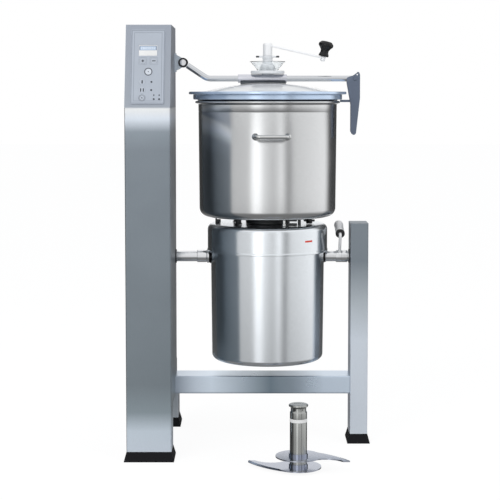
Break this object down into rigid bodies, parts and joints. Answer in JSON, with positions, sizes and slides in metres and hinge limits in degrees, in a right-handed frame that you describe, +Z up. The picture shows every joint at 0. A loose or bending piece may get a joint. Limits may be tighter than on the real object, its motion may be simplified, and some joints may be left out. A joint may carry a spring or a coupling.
{
  "type": "commercial food processor",
  "caption": "Floor-standing vertical cutter mixer: tall control column, tilting bowl over a motor drum, hinged clear lid with wiper crank and clamp, and a loose two-wing cutter.",
  "frame": {"origin": "on the floor, in the middle of the footprint of the machine together with the loose cutter in front of it", "axes": "+X to the operator's right, +Y towards the back, +Z up"},
  "size_m": [0.81, 0.76, 1.4],
  "materials": {
    "column_steel": "satin",
    "frame_steel": "satin",
    "screw_steel": "satin",
    "foot_rubber": "matt",
    "bearing_iron": "satin",
    "pivot_black": "satin",
    "panel_grey": "satin",
    "display_glass": "gloss",
    "drive_aluminium": "matt",
    "gland_black": "matt",
    "unit_steel": "brushed",
    "shaft_chrome": "polished",
    "seal_rubber": "matt",
    "stator_iron": "matt",
    "fan_plastic": "matt",
    "seat_dark": "satin",
    "bowl_steel": "brushed",
    "handle_steel": "polished",
    "lock_black": "satin",
    "arm_chrome": "polished",
    "sleeve_dark": "satin",
    "lid_blue": "satin",
    "lid_clear": "gloss",
    "hub_light": "satin",
    "wiper_white": "satin",
    "knob_black": "satin",
    "clamp_grey": "satin",
    "grip_light": "satin",
    "cutter_steel": "satin",
    "ring_white": "satin",
    "blade_steel": "polished",
    "key_white": "satin",
    "key_red": "satin",
    "key_pulse": "satin"
  },
  "bodies": {
    "stand": {"column_shell": "column_steel", "column_leg": "column_steel", "back_cover": "column_steel", "cover_screws": "screw_steel", "side_frame": "frame_steel", "crossbar": "frame_steel", "right_post": "frame_steel", "front_foot": "foot_rubber", "back_foot": "foot_rubber", "right_foot": "foot_rubber", "left_bearing": "bearing_iron", "right_bearing": "bearing_iron", "arm_bracket": "frame_steel", "arm_pivot_pin": "pivot_black", "control_panel": "panel_grey", "display": "display_glass", "motor_drive": "drive_aluminium", "cable_gland": "gland_black"},
    "bowl_unit": {"motor_drum": "unit_steel", "motor_collar": "unit_steel", "left_shaft": "shaft_chrome", "right_shaft": "shaft_chrome", "shaft_seals": "seal_rubber", "stator": "stator_iron", "motor_bearings": "shaft_chrome", "bowl_seat": "seat_dark", "bowl_fittings": "seat_dark", "bowl": "bowl_steel", "bowl_flange": "bowl_steel", "front_handle": "handle_steel", "back_handle": "handle_steel"},
    "drive": {"rotor": "stator_iron", "cooling_fan": "fan_plastic", "drive_spindle": "shaft_chrome"},
    "lock_knob": {"bowl_lock_knob": "lock_black"},
    "lid": {"arm_bar": "arm_chrome", "arm_sleeve": "sleeve_dark", "lid_rim": "lid_blue", "lid_dome": "lid_clear", "lid_seal": "seal_rubber", "hub_base": "hub_light", "feed_cup": "lid_clear", "hub_boss": "hub_light"},
    "wiper": {"wiper_crank": "arm_chrome", "wiper_blade": "wiper_white"},
    "knob": {"crank_knob": "knob_black"},
    "clamp": {"clamp_lever": "clamp_grey", "clamp_hook": "clamp_grey"},
    "tilt_handle": {"tilt_lever": "arm_chrome", "lever_grip": "grip_light"},
    "cutter": {"cutter_hub": "cutter_steel", "hub_ring": "ring_white", "lower_blade": "blade_steel", "upper_blade": "blade_steel"},
    "plus_key_body": {"plus_key": "key_white"},
    "minus_key_body": {"minus_key": "key_white"},
    "stop_key_body": {"stop_key": "key_red"},
    "speed_one_key_body": {"speed_one_key": "key_white"},
    "speed_two_key_body": {"speed_two_key": "key_white"},
    "pulse_key_body": {"pulse_key": "key_pulse"}
  },
  "joints": [
    {"name": "bowl_tilt", "type": "hinge", "parent": "stand", "child": "bowl_unit", "pos_m": [0, 0.08, 0.632], "axis": [1, 0, 0], "range_deg": [0, 80]},
    {"name": "lid_lift", "type": "hinge", "parent": "stand", "child": "lid", "pos_m": [-0.224, 0.08, 1.284], "axis": [0, -1, 0], "range_deg": [0, 108]},
    {"name": "drive_spin", "type": "hinge", "parent": "bowl_unit", "child": "drive", "pos_m": [0.059, 0.08, 0.5], "axis": [0, 0, 1], "continuous": true},
    {"name": "lock_turn", "type": "hinge", "parent": "bowl_unit", "child": "lock_knob", "pos_m": [0.199, 0.05, 0.757], "axis": [0, 0, 1], "range_deg": [0, 90]},
    {"name": "wiper_turn", "type": "hinge", "parent": "lid", "child": "wiper", "pos_m": [0.059, 0.08, 1.2], "axis": [0, 0, 1], "range_deg": [-120, 120]},
    {"name": "knob_spin", "type": "hinge", "parent": "wiper", "child": "knob", "pos_m": [0.245, 0.08, 1.30036], "axis": [0.225, 0, 0.9744], "continuous": true},
    {"name": "clamp_swing", "type": "hinge", "parent": "lid", "child": "clamp", "pos_m": [0.352, 0.08, 1.231], "axis": [0, -1, 0], "range_deg": [0, 60]},
    {"name": "lever_turn", "type": "hinge", "parent": "bowl_unit", "child": "tilt_handle", "pos_m": [0.303, 0.08, 0.632], "axis": [1, 0, 0], "range_deg": [0, 25]},
    {"name": "cutter_lift", "type": "slide", "parent": "stand", "child": "cutter", "axis": [0, 0, 1], "range_m": [0, 0.15]},
    {"name": "plus_key_press", "type": "slide", "parent": "stand", "child": "plus_key_body", "axis": [0, 0.9532, -0.3024], "range_m": [0, 0.0006], "stiffness_N_per_m": 800},
    {"name": "minus_key_press", "type": "slide", "parent": "stand", "child": "minus_key_body", "axis": [0, 0.9532, -0.3024], "range_m": [0, 0.0006], "stiffness_N_per_m": 800},
    {"name": "stop_key_press", "type": "slide", "parent": "stand", "child": "stop_key_body", "axis": [0, 0.9532, -0.3024], "range_m": [0, 0.0006], "stiffness_N_per_m": 800},
    {"name": "speed_one_key_press", "type": "slide", "parent": "stand", "child": "speed_one_key_body", "axis": [0, 0.9532, -0.3024], "range_m": [0, 0.0006], "stiffness_N_per_m": 800},
    {"name": "speed_two_key_press", "type": "slide", "parent": "stand", "child": "speed_two_key_body", "axis": [0, 0.9532, -0.3024], "range_m": [0, 0.0006], "stiffness_N_per_m": 800},
    {"name": "pulse_key_press", "type": "slide", "parent": "stand", "child": "pulse_key_body", "axis": [0, 0.9532, -0.3024], "range_m": [0, 0.0006], "stiffness_N_per_m": 800}
  ],
  "couplings": [
    {"joint": "lid_lift", "follows": "bowl_tilt", "ratio": 1.35}
  ]
}
